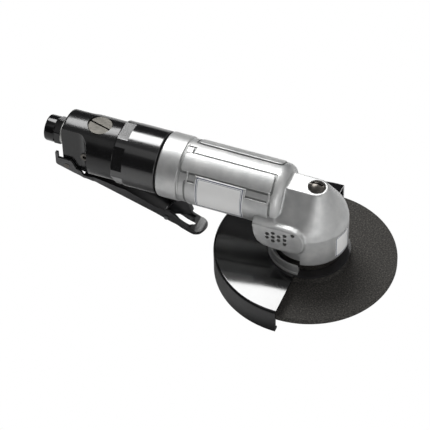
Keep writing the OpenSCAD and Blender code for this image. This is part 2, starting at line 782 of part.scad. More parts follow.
module bearing_cover() {
  placed() color("dimgray") difference() {
    union() {
      post(-case_drop, -cover_pilot, cover_thread_r - seat_gap);
      post(guard_z + plate_gap, -case_drop, cover_r);
      post(-guard_spigot_drop, -cover_lip, guard_spigot_r);
    }
    post(-cover_lip, 0, 17.5);
    post(-guard_spigot_drop - 1, 0, 13);
    post(-guard_spigot_drop - 1, -cover_lip - 1.8, 19.8);
    // Groove for the retaining ring under the guard
    difference() {
      post(ring_z - 0.1, ring_z + 0.7, 30);
      post(ring_z - 1, ring_z + 2, guard_spigot_r - 0.9);
    }
  }
}

module spindle_bearing_race() {
  placed() color("lightgray") post_at(-cover_lip) outer_race(bearing_w, 17.5 - seat_gap, 14.6, 12.5, 3.2);
}
module spindle_bearing_balls() {
  placed() color("lightgray") post_at(-cover_lip)
    inner_race_and_balls(bearing_w, 10.4, 7.5, 12.5, 3.2, 9);
}
module post_at(z) translate([0, 0, axis_h + z]) children();

// Guard: half a disc with a deep skirt and a lip turned in
module wheel_guard() {
  top = guard_top;
  placed() color("black") difference() {
    union() {
      rotate_extrude(angle = 182, start = 88) {
        translate([guard_spigot_r + 0.3, top - guard_t]) square([guard_r - guard_spigot_r - 2.3, guard_t]);
        translate([guard_r - 2, top - 2]) intersection() { circle(r = 2); square(2); }
        translate([guard_r - guard_t, -skirt_drop]) square([guard_t, top + skirt_drop - 2]);
        translate([guard_r - guard_t - lip_w, -skirt_drop]) square([lip_w + 0.1, guard_t]);
        translate([guard_r - 4, top - guard_t]) square([2.1, guard_t]);
      }
      // Full ring about the spigot
      rotate_extrude() translate([guard_spigot_r + 0.3, top - guard_t]) square([6.7, guard_t]);
    }
    for (a = [110, 180, 250])
      rotate([0, 0, a]) translate([26.4, 0, top - 5]) cylinder(h = 10, r = 1.5);
  }
}

module guard_collar() {
  rim_top = -36.3;
  placed() color("silver") difference() {
    rotate_extrude(angle = 184, start = 90) translate([0, axis_h]) {
      translate([24, guard_z]) square([5, 6.3]);
      translate([25.6, guard_z]) square([2.8, rim_top - guard_z]);
    }
    for (a = [110, 180, 250])
      rotate([0, 0, a]) translate([26.4, 0, guard_top - 1]) cylinder(h = 5, r = 1.5);
  }
}

module guard_screws() {
  placed() color("dimgray") for (a = [110, 180, 250])
    rotate([0, 0, a]) translate([26.4, 0, guard_top - guard_t]) {
      cylinder(h = guard_t + 3.6, r = 1.5 - seat_gap);
      translate([0, 0, -1]) cylinder(h = 1, r = 2.4);
    }
}

module guard_ring() {
  placed() color("dimgray") difference() {
    post(ring_z, ring_z + 0.6, 23.6);
    post(ring_z - 1, ring_z + 2, guard_spigot_r - 0.8);
    block(18, 28, -2, 2, ring_z - 1, ring_z + 2);
  }
}

// Wheel and its clamping
module inner_flange() {
  placed() color("dimgray") difference() {
    union() {
      translate([0, 0, hub_top]) cylinder(h = axis_h - shoulder_drop - hub_top, r = 18.5);
      translate([0, 0, hub_top - 1.5]) cylinder(h = 2, r = wheel_bore_r - 0.1);
      post(-shoulder_drop - 1, -cover_lip, 10);
    }
    translate([0, 0, hub_top - 3]) cylinder(h = 20, r = spindle_r + seat_gap);
    post(-shoulder_drop, 0, 7.5);
  }
}

module grinding_wheel() {
  placed() color("dimgray") difference() {
    rotate_extrude() polygon([[wheel_bore_r, hub_rise], [21, hub_rise], [27, 0],
      [wheel_r - 0.5, 0], [wheel_r, 0.5], [wheel_r, wheel_t - 0.5], [wheel_r - 0.5, wheel_t],
      [28, wheel_t], [22, hub_top], [wheel_bore_r, hub_top]]);
  }
}

module flange_nut() {
  placed() color("dimgray") difference() {
    union() {
      translate([0, 0, 0.5]) cylinder(h = hub_rise - 0.5, r = 17.5);
      translate([0, 0, hub_rise - 0.2]) cylinder(h = 2, r = wheel_bore_r - 0.1);
    }
    translate([0, 0, -1]) cylinder(h = 12, r = spindle_r + seat_gap);
    for (a = [0, 180]) rotate([0, 0, a]) translate([13, 0, -1]) cylinder(h = 4, r = 2.1);
  }
}

main_housing();
coupling_collar();
collar_seal();
valve_housing();
inlet_bush();
inlet_washer();
inlet_screen();
valve_cap();
cap_seal();
valve_seat();
valve_spring();
valve_stem();
stem_seal();
cross_plug();
lever_pin();
throttle_lever();
latch_pin();
latch_spring();
safety_latch();
motor_cylinder();
rear_end_plate();
front_end_plate();
motor_spacer();
rear_bearing_race();
rear_bearing_balls();
front_bearing_race();
front_bearing_balls();
rotor();
vanes();
pinion();
bevel_gear();
gear_spacer();
spindle();
upper_bush();
bearing_cover();
spindle_bearing_race();
spindle_bearing_balls();
wheel_guard();
guard_collar();
guard_screws();
guard_ring();
inner_flange();
grinding_wheel();
flange_nut();
grease_plug();
rating_plate();
warning_label();
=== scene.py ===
import json
import math

import bpy
from mathutils import Matrix, Vector


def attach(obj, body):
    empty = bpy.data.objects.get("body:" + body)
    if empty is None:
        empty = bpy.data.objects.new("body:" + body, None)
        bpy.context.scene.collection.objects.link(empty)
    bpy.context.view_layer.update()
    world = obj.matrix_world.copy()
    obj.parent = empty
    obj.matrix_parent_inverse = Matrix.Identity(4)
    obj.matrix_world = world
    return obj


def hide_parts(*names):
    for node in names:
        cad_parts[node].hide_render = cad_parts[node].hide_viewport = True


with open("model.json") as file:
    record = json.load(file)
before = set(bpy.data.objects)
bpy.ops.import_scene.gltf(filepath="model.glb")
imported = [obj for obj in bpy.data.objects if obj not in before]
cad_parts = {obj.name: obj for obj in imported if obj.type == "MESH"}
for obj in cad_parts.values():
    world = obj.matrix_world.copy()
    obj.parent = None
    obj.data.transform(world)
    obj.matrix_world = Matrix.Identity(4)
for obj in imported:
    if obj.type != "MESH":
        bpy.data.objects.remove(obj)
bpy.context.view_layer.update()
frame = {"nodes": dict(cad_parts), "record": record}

mm = 0.001
spindleX = 67.5  # the spindle's axis in the row frame, in mm
axisZ = 64.0     # the body's axis over the floor, in mm


def at(x, y, z):  # mm from the spindle and the body's axis, to metres in the row frame
    return Vector((x + spindleX, y, z + axisZ)) * mm


# Modelling helpers


def objectMode():
    if bpy.context.object and bpy.context.object.mode != "OBJECT":
        bpy.ops.object.mode_set(mode="OBJECT")


def clear():
    objectMode()
    bpy.ops.object.select_all(action="DESELECT")


def only(piece):
    clear()
    piece.select_set(True)
    bpy.context.view_layer.objects.active = piece


def openAll(piece):  # edit mode with everything selected
    only(piece)
    bpy.ops.object.mode_set(mode="EDIT")
    bpy.ops.mesh.select_all(action="SELECT")


def named(name):
    piece = bpy.context.object
    piece.name = piece.data.name = name
    return piece


def settle(piece):
    only(piece)
    bpy.ops.object.transform_apply(location=True, rotation=True, scale=True)
    return piece


def mend(piece, gap=0.002):  # closes seams up to gap mm wide and turns the faces outwards
    openAll(piece)
    bpy.ops.mesh.remove_doubles(threshold=gap * mm)
    bpy.ops.mesh.delete_loose()
    bpy.ops.mesh.select_all(action="SELECT")
    bpy.ops.mesh.normals_make_consistent(inside=False)
    objectMode()


def pickEdges(piece, test):  # selects edges by the places of their two ends
    only(piece)
    bpy.ops.object.mode_set(mode="EDIT")
    bpy.ops.mesh.select_mode(type="EDGE")
    bpy.ops.mesh.select_all(action="DESELECT")
    objectMode()
    mesh = piece.data
    for edge in mesh.edges:
        edge.select = test(*(mesh.vertices[i].co for i in edge.vertices))
    bpy.ops.object.mode_set(mode="EDIT")


def swing(piece, degrees, axis, centre):
    openAll(piece)
    bpy.ops.transform.rotate(value=math.radians(degrees), orient_axis=axis, center_override=centre)
    objectMode()


def applied(piece, kind, **settings):
    only(piece)
    modifier = piece.modifiers.new(kind, kind)
    for key, value in settings.items():
        setattr(modifier, key, value)
    bpy.ops.object.modifier_apply(modifier=modifier.name)


def rounded(piece, width, steps=2, angle=30):
    applied(piece, "BEVEL", width=width * mm, segments=steps, limit_method="ANGLE",
            angle_limit=math.radians(angle))


def combine(piece, other, operation="DIFFERENCE"):
    applied(piece, "BOOLEAN", operation=operation, object=other, solver="EXACT")
    bpy.data.objects.remove(other)


def rod(name, start, end, radius, sides=48, endRadius=None):
    clear()
    radius2 = (radius if endRadius is None else endRadius) * mm
    bpy.ops.mesh.primitive_cone_add(vertices=sides, radius1=radius * mm, radius2=radius2,
                                    depth=(end - start).length, location=(start + end) / 2)
    piece = named(name)
    piece.rotation_euler = (end - start).to_track_quat("Z", "Y").to_euler()
    return settle(piece)


def drilled(piece, *rods):  # each a name, start, end, radius, sides and the far end's radius
    for name, start, end, *sizes in rods:
        combine(piece, rod(name, at(*start), at(*end), *sizes))


def joined(piece, *rods):
    for name, start, end, *sizes in rods:
        combine(piece, rod(name, at(*start), at(*end), *sizes), "UNION")


def block(name, low, high):
    clear()
    bpy.ops.mesh.primitive_cube_add(size=1, location=(low + high) / 2, scale=high - low)
    return settle(named(name))


def hexagon(name, centre, across, length, turn=0):  # a bar along the body, sized across its flats
    clear()
    bpy.ops.mesh.primitive_cylinder_add(vertices=6, radius=across / math.sqrt(3) * mm,
                                        depth=length * mm, rotation=(0, 0, math.radians(turn)))
    piece = settle(named(name))
    piece.rotation_euler = (0, math.radians(90), 0)
    settle(piece)
    piece.location = centre
    return settle(piece)


def turned(name, outline, origin, alongBody=False, first=0, sweep=360, steps=128):
    # spins a closed outline of (radius, height); angles run from +X towards +Y
    clear()
    bpy.ops.mesh.primitive_plane_add(size=mm)
    piece = named(name)
    bpy.ops.object.mode_set(mode="EDIT")
    bpy.ops.mesh.merge(type="CENTER")
    bpy.ops.transform.translate(value=(outline[0][0] * mm, 0, outline[0][1] * mm))
    for before, after in zip(outline, outline[1:]):
        step = ((after[0] - before[0]) * mm, 0, (after[1] - before[1]) * mm)
        bpy.ops.mesh.extrude_region_move(TRANSFORM_OT_translate={"value": step})
    bpy.ops.mesh.select_all(action="SELECT")
    bpy.ops.mesh.edge_face_add()
    if sweep == 360:
        bpy.ops.mesh.delete(type="ONLY_FACE")
    bpy.ops.mesh.select_all(action="SELECT")
    bpy.ops.mesh.spin(steps=round(steps * sweep / 360), angle=math.radians(-sweep),
                      center=(0, 0, 0), axis=(0, 0, 1))
    objectMode()
    piece.rotation_euler = (0, 0, math.radians(first))
    settle(piece)
    if alongBody:
        piece.rotation_euler = (0, math.radians(90), 0)
        settle(piece)
    piece.location = origin
    settle(piece)
    mend(piece)
    return piece


def prism(name, outline, low, high, plane="XZ"):
    # extrudes an outline in mm between two heights across its plane
    clear()
    bpy.ops.mesh.primitive_circle_add(vertices=len(outline), fill_type="NGON")
    piece = named(name)
    for vertex, (u, v) in zip(piece.data.vertices, outline):
        vertex.co = at(u, low, v) if plane == "XZ" else at(u, v, low)
    openAll(piece)
    step = (0, (high - low) * mm, 0) if plane == "XZ" else (0, 0, (high - low) * mm)
    bpy.ops.mesh.extrude_region_move(TRANSFORM_OT_translate={"value": step})
    objectMode()
    mend(piece)
    return piece


def wrapped(name, start, end, low, high, radius, rise, corner, onHead=False):
    # a thin patch with round corners, bent round the body's axis, or round the spindle's when
    # it is on the head; low and high are degrees up from the near side
    clear()
    length, width = (end - start) * mm, math.radians(high - low) * radius * mm
    bpy.ops.mesh.primitive_plane_add(size=1)
    piece = named(name)
    piece.scale = (length, width, 1)
    settle(piece)
    openAll(piece)
    bpy.ops.mesh.bevel(offset=corner * mm, segments=5, affect="VERTICES")
    strips = math.ceil(width / mm / 0.9)  # narrow enough to bend smoothly
    for k in range(1, strips):
        bpy.ops.mesh.select_all(action="SELECT")
        bpy.ops.mesh.bisect(plane_co=(0, -width / 2 + width * k / strips, 0), plane_no=(0, 1, 0))
    objectMode()
    layer = piece.data.uv_layers.new(name="sheet")  # mm from one corner of the flat patch
    for loop in piece.data.loops:
        co = piece.data.vertices[loop.vertex_index].co
        layer.data[loop.index].uv = ((co.x + length / 2) / mm, (co.y + width / 2) / mm)
    for vertex in piece.data.vertices:
        turn = math.radians(low) + (vertex.co.y + width / 2) / (radius * mm)
        along = start + (vertex.co.x + length / 2) / mm
        out, up = -radius * math.cos(turn), radius * math.sin(turn)
        vertex.co = at(up, out, along) if onHead else at(along, out, up)
    applied(piece, "SOLIDIFY", thickness=rise * mm, offset=-1 if onHead else 1)
    openAll(piece)
    bpy.ops.mesh.normals_make_consistent(inside=False)
    objectMode()
    return piece


def loft(name, rings):  # rings are lists of the same number of places in mm
    clear()
    bpy.ops.mesh.primitive_circle_add(vertices=len(rings[0]), fill_type="NGON")
    piece = named(name)
    for vertex, place in zip(piece.data.vertices, rings[0]):
        vertex.co = at(*place)
    openAll(piece)
    for before, after in zip(rings, rings[1:]):
        bpy.ops.object.mode_set(mode="EDIT")
        bpy.ops.mesh.extrude_region_move()
        objectMode()
        places = [at(*place) for place in before]
        for vertex in [v for v in piece.data.vertices if v.select]:
            nearest = min(range(len(places)), key=lambda k: (places[k] - vertex.co).length)
            vertex.co = at(*after[nearest])
    mend(piece)
    return piece


def finished(piece, body, material, *nodes, slot=None, smooth=35):
    only(piece)
    bpy.ops.object.shade_smooth_by_angle(angle=math.radians(smooth))
    applied(piece, "WEIGHTED_NORMAL", weight=100, keep_sharp=True)
    piece.data.materials.clear()
    piece.data.materials.append(material)
    for face in piece.data.polygons:
        face.material_index = 0
    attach(piece, body)
    if nodes:
        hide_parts(*nodes)


# Materials


def colour(code):  # sRGB hex to linear
    parts = [int(code[i:i + 2], 16) / 255 for i in (1, 3, 5)]
    return (*(c / 12.92 if c <= 0.04045 else ((c + 0.055) / 1.055) ** 2.4 for c in parts), 1)


def join(tree, target, **links):  # sources by the socket's name, or by its number as in _1
    for key, source in links.items():
        socket = int(key[1:]) if key[1:].isdigit() else key.replace("_", " ")
        tree.links.new(getattr(source, "outputs", [source])[0], target.inputs[socket])


def node(tree, kind, settings=None, **links):
    made = tree.nodes.new("ShaderNode" + kind)
    for key, value in (settings or {}).items():
        if key == "stops":  # places on a colour ramp with a hex colour or a plain level
            elements = made.color_ramp.elements
            while len(elements) < len(value):
                elements.new(0.5)
            for element, (place, shade) in zip(elements, value):
                element.position = place
                element.color = colour(shade) if isinstance(shade, str) else (shade,) * 3 + (1,)
        elif key in made.inputs:
            made.inputs[key].default_value = value
        elif key.isdigit():
            made.inputs[int(key)].default_value = value
        else:
            setattr(made, key, value)
    join(tree, made, **links)
    return made


def material(name, **shader):
    made = bpy.data.materials.new(name)
    made.use_nodes = True
    surface = made.node_tree.nodes["Principled BSDF"]
    for key, value in shader.items():
        surface.inputs[key.replace("_", " ")].default_value = value
    where = node(made.node_tree, "TexCoord").outputs["Object"]
    return made, made.node_tree, surface, where


def scaleFor(size):  # a noise's scale for blotches of so many mm
    return 1000 / size


def castSilver():
    # sand-cast aluminium under silver lacquer: a pale, slightly blotched metal with a soft grain,
    # drawn at 0.7 mm, a little coarser than the sand, so that it shows
    made, tree, surface, where = material("silver lacquered casting", Metallic=0.87)
    blotch = node(tree, "TexNoise", {"Scale": scaleFor(9.0), "Detail": 3.0, "Roughness": 0.5},
                  Vector=where)
    grain = node(tree, "TexNoise", {"Scale": scaleFor(0.7), "Detail": 4.0, "Roughness": 0.65},
                 Vector=where)
    tones = [(0.3, "#c2c3c3"), (0.7, "#d6d6d5")]
    join(tree, surface, Base_Color=node(tree, "ValToRGB", {"stops": tones}, Fac=blotch),
         Roughness=node(tree, "ValToRGB", {"stops": [(0.25, 0.42), (0.75, 0.54)]}, Fac=grain),
         Normal=node(tree, "Bump", {"Strength": 1.0, "Distance": 0.05 * mm}, Height=grain))
    return made


def blackEnamel(name, roughness, shade="#0c0c0d", index=1.5):
    # sprayed gloss over smooth steel or aluminium: sharp mirrored lights with a faint orange peel
    made, tree, surface, where = material(name, IOR=index)
    drift = node(tree, "TexNoise", {"Scale": scaleFor(14.0), "Detail": 3.0, "Roughness": 0.5},
                 Vector=where)
    peel = node(tree, "TexNoise", {"Scale": scaleFor(2.5), "Detail": 3.0, "Roughness": 0.5},
                Vector=where)
    levels = [(0.3, roughness), (0.7, roughness * 1.4)]
    join(tree, surface,
         Base_Color=node(tree, "ValToRGB", {"stops": [(0.3, shade), (0.7, "#101012")]}, Fac=drift),
         Roughness=node(tree, "ValToRGB", {"stops": levels}, Fac=drift),
         Normal=node(tree, "Bump", {"Strength": 1.0, "Distance": 0.004 * mm}, Height=peel))
    return made


def guardEnamel():
    # the same enamel on the guard, whose pressed plate falls off by a few degrees from its ring
    # to its edge and so mirrors the lamp over the barrel
    made, tree, surface, where = material("black enamel, dished plate", IOR=1.85)
    drift = node(tree, "TexNoise", {"Scale": scaleFor(14.0), "Detail": 3.0, "Roughness": 0.5},
                 Vector=where)
    out = node(tree, "VectorMath", {"operation": "SUBTRACT", "1": (spindleX * mm, 0, 0)}, _0=where)
    flat = node(tree, "VectorMath", {"operation": "MULTIPLY", "1": (1, 1, 0)}, _0=out)
    reach = node(tree, "VectorMath", {"operation": "LENGTH"}, _0=flat).outputs["Value"]
    fall = node(tree, "MapRange", {"From Min": 29.7 * mm, "From Max": 67.3 * mm, "To Min": 0.0,
                                   "To Max": -5.64 * mm}, Value=reach)
    tones = [(0.3, "#0b0b0c"), (0.7, "#0f0f11")]
    join(tree, surface, Base_Color=node(tree, "ValToRGB", {"stops": tones}, Fac=drift),
         Roughness=node(tree, "ValToRGB", {"stops": [(0.3, 0.1), (0.7, 0.14)]}, Fac=drift),
         Normal=node(tree, "Bump", {"Strength": 1.0, "Distance": 1.0}, Height=fall))
    return made


def blackOxide(name, roughness, low="#0e0e0f", high="#161617", index=1.52):
    # blackened steel under a film of oil: satin, with a fine even grain
    made, tree, surface, where = material(name, IOR=index)
    drift = node(tree, "TexNoise", {"Scale": scaleFor(6.0), "Detail": 5.0, "Roughness": 0.5},
                 Vector=where)
    grain = node(tree, "TexNoise", {"Scale": scaleFor(0.8), "Detail": 3.0, "Roughness": 0.5},
                 Vector=where)
    levels = [(0.3, roughness), (0.7, roughness * 1.3)]
    join(tree, surface,
         Base_Color=node(tree, "ValToRGB", {"stops": [(0.3, low), (0.7, high)]}, Fac=drift),
         Roughness=node(tree, "ValToRGB", {"stops": levels}, Fac=grain),
         Normal=node(tree, "Bump", {"Strength": 1.0, "Distance": 0.012 * mm}, Height=grain))
    return made


def gritWheel():  # resin-bonded abrasive: dark binder with paler grains of about a millimetre
    made, tree, surface, where = material("bonded abrasive", Roughness=0.9)
    grain = node(tree, "TexNoise", {"Scale": scaleFor(1.1), "Detail": 4.0, "Roughness": 0.7},
                 Vector=where)
    stops = [(0.36, "#242322"), (0.54, "#42403d"), (0.7, "#6a6761")]
    join(tree, surface, Base_Color=node(tree, "ValToRGB", {"stops": stops}, Fac=grain),
         Normal=node(tree, "Bump", {"Strength": 1.0, "Distance": 0.25 * mm}, Height=grain))
    return made


def toolMarked(name, low, high, roughness):
    # bare or blackened metal with tool marks six times as long as wide, along the body
    made, tree, surface, where = material(name, Metallic=1.0)
    streak = node(tree, "Mapping", {"Scale": (1.0, 6.0, 6.0)}, Vector=where)
    marks = node(tree, "TexNoise", {"Scale": scaleFor(3.0), "Detail": 4.0, "Roughness": 0.5},
                 Vector=streak)
    levels = [(0.3, roughness), (0.7, roughness * 1.4)]
    join(tree, surface,
         Base_Color=node(tree, "ValToRGB", {"stops": [(0.3, low), (0.7, high)]}, Fac=marks),
         Roughness=node(tree, "ValToRGB", {"stops": levels}, Fac=marks),
         Normal=node(tree, "Bump", {"Strength": 1.0, "Distance": 0.008 * mm}, Height=marks))
    return made


def dull(name, low, high, size, roughness, depth):
    # rubber, laminate and moulded plastic: no shine, with marks of one size
    made, tree, surface, where = material(name, Roughness=roughness)
    drift = node(tree, "TexNoise", {"Scale": scaleFor(size), "Detail": 3.0, "Roughness": 0.5},
                 Vector=where)
    join(tree, surface,
         Base_Color=node(tree, "ValToRGB", {"stops": [(0.3, low), (0.7, high)]}, Fac=drift),
         Normal=node(tree, "Bump", {"Strength": 1.0, "Distance": depth * mm}, Height=drift))
    return made


def labelFilm(name, length, width, lines):
    # white vinyl film, faintly shiny, with thin printed border lines at so many mm from its edge
    made, tree, surface, where = material(name, Roughness=0.32, IOR=1.45)
    split = node(tree, "SeparateXYZ", Vector=node(tree, "UVMap", {"uv_map": "sheet"})).outputs
    inner = []
    for axis, size in (("X", length), ("Y", width)):
        centred = node(tree, "Math", {"operation": "SUBTRACT", "1": size / 2}, _0=split[axis])
        spread = node(tree, "Math", {"operation": "ABSOLUTE"}, _0=centred)
        inner.append(node(tree, "Math", {"operation": "SUBTRACT", "0": size / 2}, _1=spread))
    edge = node(tree, "Math", {"operation": "SMOOTH_MIN", "2": 1.2}, _0=inner[0], _1=inner[1])
    band = 3.0  # mm from the edge that the ramp covers
    scaled = node(tree, "Math", {"operation": "DIVIDE", "1": band}, _0=edge)
    stops = [(0.0, "#f6f6f6")]
    for start, end in lines:
        stops += [(start / band, "#f6f6f6"), (start / band + 0.02, "#3b4668"),
                  (end / band, "#3b4668"), (end / band + 0.02, "#fafaf9")]
    pulp = node(tree, "TexNoise", {"Scale": scaleFor(3.0), "Detail": 3.0, "Roughness": 0.5},
                Vector=where)
    join(tree, surface, Base_Color=node(tree, "ValToRGB", {"stops": stops}, Fac=scaled),
         Normal=node(tree, "Bump", {"Strength": 1.0, "Distance": 0.006 * mm}, Height=pulp))
    return made


silver = castSilver()
# a darker, duller silver for the barrel's grooves: its darker colour is painted shade in the
# recesses
grooveShadeSilver = toolMarked("cast silver, painted shade in the grooves", "#969796", "#a5a6a5", 0.5)
gloss = blackEnamel("black enamel", 0.1)
guardGloss = guardEnamel()
collarGloss = blackEnamel("black chrome lacquer", 0.13, "#0a0a0b", 1.9)
satin = blackOxide("black oxide, machined", 0.17)
pressed = blackOxide("black oxide, pressed sheet", 0.34, "#141416", "#222225", 1.8)
abrasive = gritWheel()
brightSteel = toolMarked("ground steel", "#8d8f92", "#b2b4b6", 0.25)
darkSteel = toolMarked("blackened steel, worn", "#4d4a47", "#77736e", 0.28)
capSteel = toolMarked("worn steel cap", "#383734", "#5b5955", 0.3)
brass = toolMarked("turned brass", "#a88a4c", "#c2a566", 0.3)
rubber = dull("nitrile rubber", "#0d0d0d", "#151515", 2.0, 0.75, 0.02)
phenolic = dull("cloth-laminated phenolic", "#6b4526", "#80552f", 0.8, 0.7, 0.02)
paleWasher = dull("pale moulded washer", "#c3c3c0", "#d2d2cf", 1.5, 0.5, 0.01)
bySlot = {"cast_silver": silver, "gloss_black": gloss, "satin_black": satin,
          "bright_steel": brightSteel, "dark_steel": darkSteel, "motor_iron": darkSteel,
          "brass": brass, "seal_rubber": rubber, "phenolic": phenolic, "abrasive": abrasive,
          "label_white": paleWasher, "washer_pale": paleWasher}
slots = {part["node"]: part["material_slot"] for part in frame["record"]["subparts"]}
for name, piece in frame["nodes"].items():
    piece.data.materials.clear()
    piece.data.materials.append(bySlot[slots[name]])
print("materials ready")


# The casting's barrel: turned, with raised pads, most of them in a shallow groove

barrelSizes = {
    # radius, and place along the body
    "outline": [(18, -91), (19.5, -91), (19.5, -106.2), (22.7, -106.2), (23.4, -105.5),
                (23.4, -91.4), (23.2, -91), (22.2, -90.6), (22.2, -89.4), (22.6, -89),
                (22.6, -21.5), (22.2, -18.6), (21, -16.2), (19.2, -14.9), (18, -14.9)],
    "steps": 160,
    # rear end, front end and the two edges in degrees up from the near side, then the corner;
    # the label's seat and the bridges at its ends come last
    "pads": [(-88.9, -22.4, 42, 76.5, 2.2), (-88.9, -84.4, 76, 89, 0.5),
             (-84.4, -22.4, 107, 139, 2.4), (-84, -22.4, -50, 24, 2.4),
             (-84, -23.2, 150, 230, 2.4), (-77.6, -39.8, 23, 39.4, 0.5),
             (-84, -82.8, 22, 43, 0.3), (-24, -22.4, 22, 43, 0.3)],
    "grooved": 5,   # how many of the pads have a groove round them
    "groove": 1.5,  # its width
    "skin": 22.6,   # the plain barrel's radius
    "foot": 22,     # the groove's floor, where the pads start
    "rise": 1.2,
    "padEdge": 0.55,
}
barrel = turned("barrelCasting", barrelSizes["outline"], at(0, 0, 0), alongBody=True,
                steps=barrelSizes["steps"])
foot, rise, groove = barrelSizes["foot"], barrelSizes["rise"], barrelSizes["groove"]
spread = math.degrees(groove / barrelSizes["skin"])
for rear, front, low, high, corner in barrelSizes["pads"][:barrelSizes["grooved"]]:
    combine(barrel, wrapped("moat", rear - groove, front + groove, low - spread, high + spread,
                            foot, rise, corner))
finished(barrel, "housing", silver, "main_housing", slot="cast_silver")
# the grooves take the darker silver: painted shade along the pads' edges, with a rougher finish
barrel.data.materials.append(grooveShadeSilver)
for face in barrel.data.polygons:  # the grooves' floors and walls are duller and painted darker than the rest, as shade
    spot = (face.center - at(0, 0, 0)) / mm
    if 21.5 < math.hypot(spot.y, spot.z) < 22.4 and -89.3 < spot.x < -21.6:
        face.material_index = 1
for number, place in enumerate(barrelSizes["pads"], 1):
    pad = wrapped(f"barrelPad{number}", *place[:4], foot, rise, place[4])
    rounded(pad, barrelSizes["padEdge"], 3)
    finished(pad, "housing", silver, "main_housing", slot="cast_silver")
print("barrel ready")

# The casting's head: a hood with facets over a round case, and the exhaust boss on its side

headSizes = {
    # height, half width and middle of the nose of each ring of the hood, down to the round case
    "rings": [(-30, 27.8, 0), (-14, 27.75, 0), (-10, 26.8, 0.5), (-8, 26, 0.9), (-6, 24.8, 1.5),
              (-3, 22.5, 2.3), (0, 20.1, 3), (4, 17.2, 3.7), (8, 14.2, 4.3), (12, 11.2, 4.9),
              (16, 8.2, 5.2)],
    "back": -17,      # where the hood meets the barrel
    "foot": -24,
    "noseSteps": 32,
    "solids": [("case", (0, 0, -35.7), (0, 0, -12), 27.8, 96),
               ("stub", (-36, 0, 0), (-18.5, 0, 0), 21.7, 96),
               ("shoulder", (-18.6, 0, 0), (-14.9, 0, 0), 22.2, 96, 19.4)],
    "boss": [(-32.6, 6), (-32.2, -3), (-31.4, -10), (-30.8, -15.4), (-28.4, -21), (-24, -24.2),
             (-18.9, -25.1), (-4, -25.1), (1.8, -24.3), (5.2, -21), (6.4, -16.8), (6.4, -12.5),
             (5.4, -8.6), (3.4, -6.2), (0.4, -4.8), (-4, -4.2), (-15.5, -4.2), (-17.6, -2.5),
             (-18.6, 6)],
    "bossFace": -28.6,
    "bossRoot": -12,
    "leanFoot": -5.6,  # from this height up the boss leans in to the hood's side
    "lean": 60,        # degrees
    "voxel": 0.62,     # the casting's soft edges come from a remesh at this size
    "smoothing": 9,
    "bores": [("motorBore", (-60, 0, 0), (-27, 0, 0), 18, 64),
              ("gearRoom", (0, 0, -29), (0, 0, -9), 20, 64),
              ("gearRoof", (0, 0, -9.1), (0, 0, -1), 19, 64, 15.5),
              ("coverThread", (0, 0, -40), (0, 0, -28.9), 22, 64),
              ("neck", (-28, 0, 0), (-8, 0, 0), 11, 48),
              ("bushSeat", (0, 0, -2), (0, 0, 3), 11, 48),
              ("spindleEnd", (0, 0, 2), (0, 0, 11), 6.5, 32),
              ("plugHole", (5.2, 0, 11.8), (5.2, 0, 20), 3, 32)],
    # the scoop in the case behind the guard's wall
    "scoop": [(23.7, -36.7), (32, -36.7), (32, -26.7), (23.7, -26.7)],
    "scoopFirst": 199,
    "scoopSweep": 78,
    "holes": [(-20.4, -11.7), (-20.4, -15.2), (-16.2, -9.8), (-16.2, -13.6), (-16.2, -17.2),
              (-12, -11.8), (-12, -15.4), (-7.6, -9.8), (-7.6, -13.7), (-7.6, -17.6),
              (-1.8, -7.4)],
    "hole": 1.5,  # radius
}
backX, face, steps = headSizes["back"], headSizes["bossFace"], headSizes["noseSteps"]
rings = []
for height, half, middle in headSizes["rings"]:
    ring = [(backX, -half, height)]
    for k in range(steps + 1):
        turn = math.radians(-90 + 180 * k / steps)
        ring.append((middle + half * math.cos(turn), half * math.sin(turn), height))
    rings.append(ring + [(backX, half, height)])
head = loft("headCasting", [[(x, y, headSizes["foot"]) for x, y, z in rings[0]]] + rings[1:])
joined(head, *headSizes["solids"])
boss = prism("boss", headSizes["boss"], face, headSizes["bossRoot"])
lean = block("lean", at(-45, face - 30, headSizes["leanFoot"]), at(25, face, 35))
swing(lean, headSizes["lean"], "X", at(0, face, headSizes["leanFoot"]))
combine(boss, lean)
combine(head, boss, "UNION")
applied(head, "REMESH", mode="VOXEL", voxel_size=headSizes["voxel"] * mm)
applied(head, "SMOOTH", factor=0.5, iterations=headSizes["smoothing"])
drilled(head, *headSizes["bores"])
combine(head, turned("scoop", headSizes["scoop"], at(0, 0, 0), first=headSizes["scoopFirst"],
                     sweep=headSizes["scoopSweep"]))
drilled(head, *(("hole", (x, face - 3.4, z), (x, face + 6.6, z), headSizes["hole"], 20)
                for x, z in headSizes["holes"]))
finished(head, "housing", silver, "main_housing", slot="cast_silver", smooth=40)
print("head ready", len(head.data.polygons))

# The black ring behind the barrel, with six flats at its back

collarSizes = {
    "outline": [(15, -140.2), (22.4, -140.2), (23, -139.6), (23, -108.1), (22.5, -107.6),
                (19.4, -107.6), (19.4, -91.2), (15, -91.2)],
    "steps": 144,
    "across": 42.6,  # over the flats
    "flatsMiddle": -141.8,
    "flatsFront": -131.8,
    "edge": 0.3,
}
ring = turned("collarRing", collarSizes["outline"], at(0, 0, 0), alongBody=True,
              steps=collarSizes["steps"])
flats = rod("flats", at(-150, 0, 0), at(collarSizes["flatsFront"], 0, 0), 30, 96)
combine(flats, hexagon("hexagon", at(collarSizes["flatsMiddle"], 0, 0), collarSizes["across"], 20))
combine(ring, flats)
rounded(ring, collarSizes["edge"], angle=20)
finished(ring, "housing", collarGloss, "coupling_collar", slot="gloss_black")
print("collar ready")

# The valve housing, with a flat and its round run-out on each side for the lever's fork

